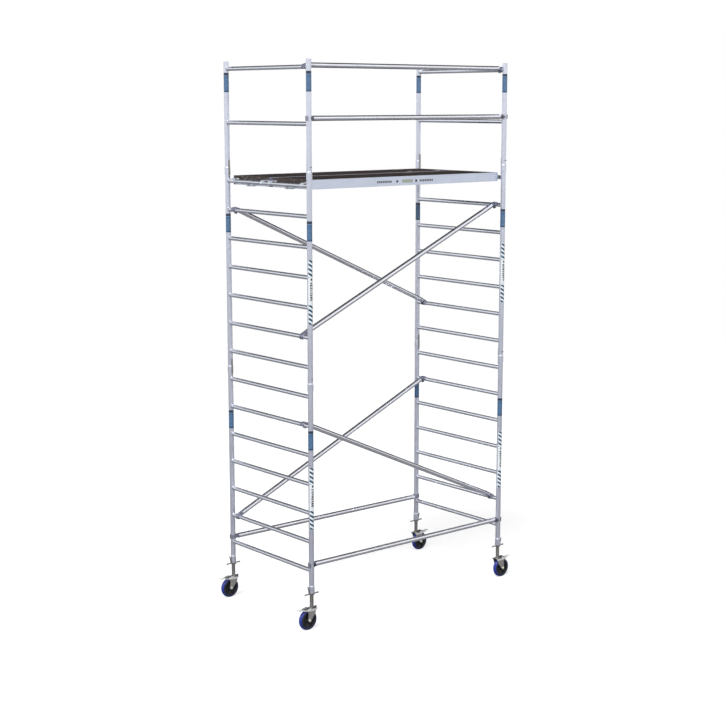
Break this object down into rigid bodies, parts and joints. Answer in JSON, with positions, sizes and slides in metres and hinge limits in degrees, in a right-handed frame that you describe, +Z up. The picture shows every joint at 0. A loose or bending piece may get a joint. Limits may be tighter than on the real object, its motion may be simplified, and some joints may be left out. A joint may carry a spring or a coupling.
{
  "type": "mobile tower scaffold",
  "caption": "Wheeled aluminium tower scaffold with ladder end frames, clip-on braces, a trapdoor platform, guardrails and braked levelling castors.",
  "frame": {"origin": "on the ground under the centre of the tower's footprint", "axes": "+Z up; X along the bay between the two end frames; Y across the frames, with the guardrails on the -Y side"},
  "size_m": [2.828, 1.38, 5.357],
  "materials": {
    "frame_tube": "mill aluminium, drawn lengthwise",
    "brace_tube": "mill aluminium, drawn lengthwise",
    "claw_casting": "cast aluminium, matt",
    "zinc_steel": "zinc plated",
    "cast_steel": "zinc plated casting",
    "bolt_steel": "bright zinc plated",
    "pedal_steel": "pale grey coated steel",
    "hub_plastic": "moulded nylon",
    "tread_rubber": "blue elastic rubber",
    "deck_aluminium": "anodised extrusion",
    "plywood": "film faced anti-slip plywood",
    "guide_plastic": "moulded",
    "rivet_steel": "blind rivets"
  },
  "bodies": {
    "root": {"lower_frame_left": "frame_tube", "upper_frame_left": "frame_tube", "guard_frame_left": "frame_tube", "lower_frame_right": "frame_tube", "upper_frame_right": "frame_tube", "guard_frame_right": "frame_tube", "bottom_braces": "brace_tube", "lower_diagonals": "brace_tube", "upper_diagonals": "brace_tube", "guardrails": "brace_tube", "brace_claws": "claw_casting", "claw_latches": "zinc_steel", "spindle_guides": "guide_plastic", "rivets": "rivet_steel", "deck_frame_front": "deck_aluminium", "deck_panel_front": "plywood", "deck_frame_rear": "deck_aluminium", "deck_panel_rear": "plywood", "deck_hooks": "claw_casting", "hatch_hinges": "zinc_steel"},
    "trapdoor": {"hatch_panel": "plywood"},
    "lifting_bail": {"hatch_bail": "zinc_steel"},
    "wind_lock_front_bar": {"wind_lock_front": "zinc_steel"},
    "levelling_front_left": {"spindle_front_left": "zinc_steel"},
    "nut_front_left": {"adjusting_nut_front_left": "cast_steel"},
    "fork_front_left": {"castor_fork_front_left": "zinc_steel", "axle_bolt_front_left": "bolt_steel"},
    "wheel_front_left": {"wheel_hub_front_left": "hub_plastic", "tyre_front_left": "tread_rubber"},
    "brake_front_left": {"brake_pedal_front_left": "pedal_steel"},
    "lock_lower_front_left": {"frame_lock_lower_front_left": "zinc_steel"},
    "lock_upper_front_left": {"frame_lock_upper_front_left": "zinc_steel"},
    "levelling_front_right": {"spindle_front_right": "zinc_steel"},
    "nut_front_right": {"adjusting_nut_front_right": "cast_steel"},
    "fork_front_right": {"castor_fork_front_right": "zinc_steel", "axle_bolt_front_right": "bolt_steel"},
    "wheel_front_right": {"wheel_hub_front_right": "hub_plastic", "tyre_front_right": "tread_rubber"},
    "brake_front_right": {"brake_pedal_front_right": "pedal_steel"},
    "lock_lower_front_right": {"frame_lock_lower_front_right": "zinc_steel"},
    "lock_upper_front_right": {"frame_lock_upper_front_right": "zinc_steel"},
    "wind_lock_rear_bar": {"wind_lock_rear": "zinc_steel"},
    "levelling_rear_left": {"spindle_rear_left": "zinc_steel"},
    "nut_rear_left": {"adjusting_nut_rear_left": "cast_steel"},
    "fork_rear_left": {"castor_fork_rear_left": "zinc_steel", "axle_bolt_rear_left": "bolt_steel"},
    "wheel_rear_left": {"wheel_hub_rear_left": "hub_plastic", "tyre_rear_left": "tread_rubber"},
    "brake_rear_left": {"brake_pedal_rear_left": "pedal_steel"},
    "lock_lower_rear_left": {"frame_lock_lower_rear_left": "zinc_steel"},
    "lock_upper_rear_left": {"frame_lock_upper_rear_left": "zinc_steel"},
    "levelling_rear_right": {"spindle_rear_right": "zinc_steel"},
    "nut_rear_right": {"adjusting_nut_rear_right": "cast_steel"},
    "fork_rear_right": {"castor_fork_rear_right": "zinc_steel", "axle_bolt_rear_right": "bolt_steel"},
    "wheel_rear_right": {"wheel_hub_rear_right": "hub_plastic", "tyre_rear_right": "tread_rubber"},
    "brake_rear_right": {"brake_pedal_rear_right": "pedal_steel"},
    "lock_lower_rear_right": {"frame_lock_lower_rear_right": "zinc_steel"},
    "lock_upper_rear_right": {"frame_lock_upper_rear_right": "zinc_steel"}
  },
  "joints": [
    {"name": "trapdoor_hinge", "type": "hinge", "parent": "root", "child": "trapdoor", "pos_m": [0.78, 0.028, 4.274], "axis": [1, 0, 0], "range_deg": [0, 100]},
    {"name": "bail_hinge", "type": "hinge", "parent": "trapdoor", "child": "lifting_bail", "pos_m": [0.78, 0.459, 4.275], "axis": [-1, 0, 0], "range_deg": [0, 90]},
    {"name": "wind_lock_front_slide", "type": "slide", "parent": "root", "child": "wind_lock_front_bar", "axis": [1, 0, 0], "range_m": [0, 0.033]},
    {"name": "levelling_front_left_slide", "type": "slide", "parent": "root", "child": "levelling_front_left", "axis": [0, 0, 1], "range_m": [-0.12, 0.07]},
    {"name": "nut_front_left_turn", "type": "hinge", "parent": "root", "child": "nut_front_left", "pos_m": [-1.25, -0.645, 0.348], "axis": [0, 0, 1], "range_deg": [-3200, 5450]},
    {"name": "fork_front_left_swivel", "type": "hinge", "parent": "levelling_front_left", "child": "fork_front_left", "pos_m": [-1.25, -0.645, 0.2095], "axis": [0, 0, 1], "continuous": true},
    {"name": "wheel_front_left_spin", "type": "hinge", "parent": "fork_front_left", "child": "wheel_front_left", "pos_m": [-1.3, -0.645, 0.1], "axis": [0, 1, 0], "continuous": true},
    {"name": "brake_front_left_press", "type": "hinge", "parent": "fork_front_left", "child": "brake_front_left", "pos_m": [-1.28, -0.645, 0.196], "axis": [0, -1, 0], "range_deg": [0, 10]},
    {"name": "lock_lower_front_left_swing", "type": "hinge", "parent": "root", "child": "lock_lower_front_left", "pos_m": [-1.25, -0.645, 2.43], "axis": [0, -1, 0], "range_deg": [0, 90]},
    {"name": "lock_upper_front_left_swing", "type": "hinge", "parent": "root", "child": "lock_upper_front_left", "pos_m": [-1.25, -0.645, 4.39], "axis": [0, -1, 0], "range_deg": [0, 90]},
    {"name": "levelling_front_right_slide", "type": "slide", "parent": "root", "child": "levelling_front_right", "axis": [0, 0, 1], "range_m": [-0.12, 0.07]},
    {"name": "nut_front_right_turn", "type": "hinge", "parent": "root", "child": "nut_front_right", "pos_m": [1.25, -0.645, 0.348], "axis": [0, 0, 1], "range_deg": [-3200, 5450]},
    {"name": "fork_front_right_swivel", "type": "hinge", "parent": "levelling_front_right", "child": "fork_front_right", "pos_m": [1.25, -0.645, 0.2095], "axis": [0, 0, 1], "continuous": true},
    {"name": "wheel_front_right_spin", "type": "hinge", "parent": "fork_front_right", "child": "wheel_front_right", "pos_m": [1.3, -0.645, 0.1], "axis": [0, 1, 0], "continuous": true},
    {"name": "brake_front_right_press", "type": "hinge", "parent": "fork_front_right", "child": "brake_front_right", "pos_m": [1.28, -0.645, 0.196], "axis": [0, 1, 0], "range_deg": [0, 10]},
    {"name": "lock_lower_front_right_swing", "type": "hinge", "parent": "root", "child": "lock_lower_front_right", "pos_m": [1.25, -0.645, 2.43], "axis": [0, 1, 0], "range_deg": [0, 90]},
    {"name": "lock_upper_front_right_swing", "type": "hinge", "parent": "root", "child": "lock_upper_front_right", "pos_m": [1.25, -0.645, 4.39], "axis": [0, 1, 0], "range_deg": [0, 90]},
    {"name": "wind_lock_rear_slide", "type": "slide", "parent": "root", "child": "wind_lock_rear_bar", "axis": [1, 0, 0], "range_m": [0, 0.033]},
    {"name": "levelling_rear_left_slide", "type": "slide", "parent": "root", "child": "levelling_rear_left", "axis": [0, 0, 1], "range_m": [-0.12, 0.07]},
    {"name": "nut_rear_left_turn", "type": "hinge", "parent": "root", "child": "nut_rear_left", "pos_m": [-1.25, 0.645, 0.348], "axis": [0, 0, 1], "range_deg": [-3200, 5450]},
    {"name": "fork_rear_left_swivel", "type": "hinge", "parent": "levelling_rear_left", "child": "fork_rear_left", "pos_m": [-1.25, 0.645, 0.2095], "axis": [0, 0, 1], "continuous": true},
    {"name": "wheel_rear_left_spin", "type": "hinge", "parent": "fork_rear_left", "child": "wheel_rear_left", "pos_m": [-1.3, 0.645, 0.1], "axis": [0, 1, 0], "continuous": true},
    {"name": "brake_rear_left_press", "type": "hinge", "parent": "fork_rear_left", "child": "brake_rear_left", "pos_m": [-1.28, 0.645, 0.196], "axis": [0, -1, 0], "range_deg": [0, 10]},
    {"name": "lock_lower_rear_left_swing", "type": "hinge", "parent": "root", "child": "lock_lower_rear_left", "pos_m": [-1.25, 0.645, 2.43], "axis": [0, -1, 0], "range_deg": [0, 90]},
    {"name": "lock_upper_rear_left_swing", "type": "hinge", "parent": "root", "child": "lock_upper_rear_left", "pos_m": [-1.25, 0.645, 4.39], "axis": [0, -1, 0], "range_deg": [0, 90]},
    {"name": "levelling_rear_right_slide", "type": "slide", "parent": "root", "child": "levelling_rear_right", "axis": [0, 0, 1], "range_m": [-0.12, 0.07]},
    {"name": "nut_rear_right_turn", "type": "hinge", "parent": "root", "child": "nut_rear_right", "pos_m": [1.25, 0.645, 0.348], "axis": [0, 0, 1], "range_deg": [-3200, 5450]},
    {"name": "fork_rear_right_swivel", "type": "hinge", "parent": "levelling_rear_right", "child": "fork_rear_right", "pos_m": [1.25, 0.645, 0.2095], "axis": [0, 0, 1], "continuous": true},
    {"name": "wheel_rear_right_spin", "type": "hinge", "parent": "fork_rear_right", "child": "wheel_rear_right", "pos_m": [1.3, 0.645, 0.1], "axis": [0, 1, 0], "continuous": true},
    {"name": "brake_rear_right_press", "type": "hinge", "parent": "fork_rear_right", "child": "brake_rear_right", "pos_m": [1.28, 0.645, 0.196], "axis": [0, 1, 0], "range_deg": [0, 10]},
    {"name": "lock_lower_rear_right_swing", "type": "hinge", "parent": "root", "child": "lock_lower_rear_right", "pos_m": [1.25, 0.645, 2.43], "axis": [0, 1, 0], "range_deg": [0, 90]},
    {"name": "lock_upper_rear_right_swing", "type": "hinge", "parent": "root", "child": "lock_upper_rear_right", "pos_m": [1.25, 0.645, 4.39], "axis": [0, 1, 0], "range_deg": [0, 90]}
  ],
  "couplings": [
    {"joint": "nut_front_left_turn", "follows": "levelling_front_left_slide", "rad_per_m": -785.4},
    {"joint": "nut_front_right_turn", "follows": "levelling_front_right_slide", "rad_per_m": -785.4},
    {"joint": "nut_rear_left_turn", "follows": "levelling_rear_left_slide", "rad_per_m": -785.4},
    {"joint": "nut_rear_right_turn", "follows": "levelling_rear_right_slide", "rad_per_m": -785.4}
  ]
}
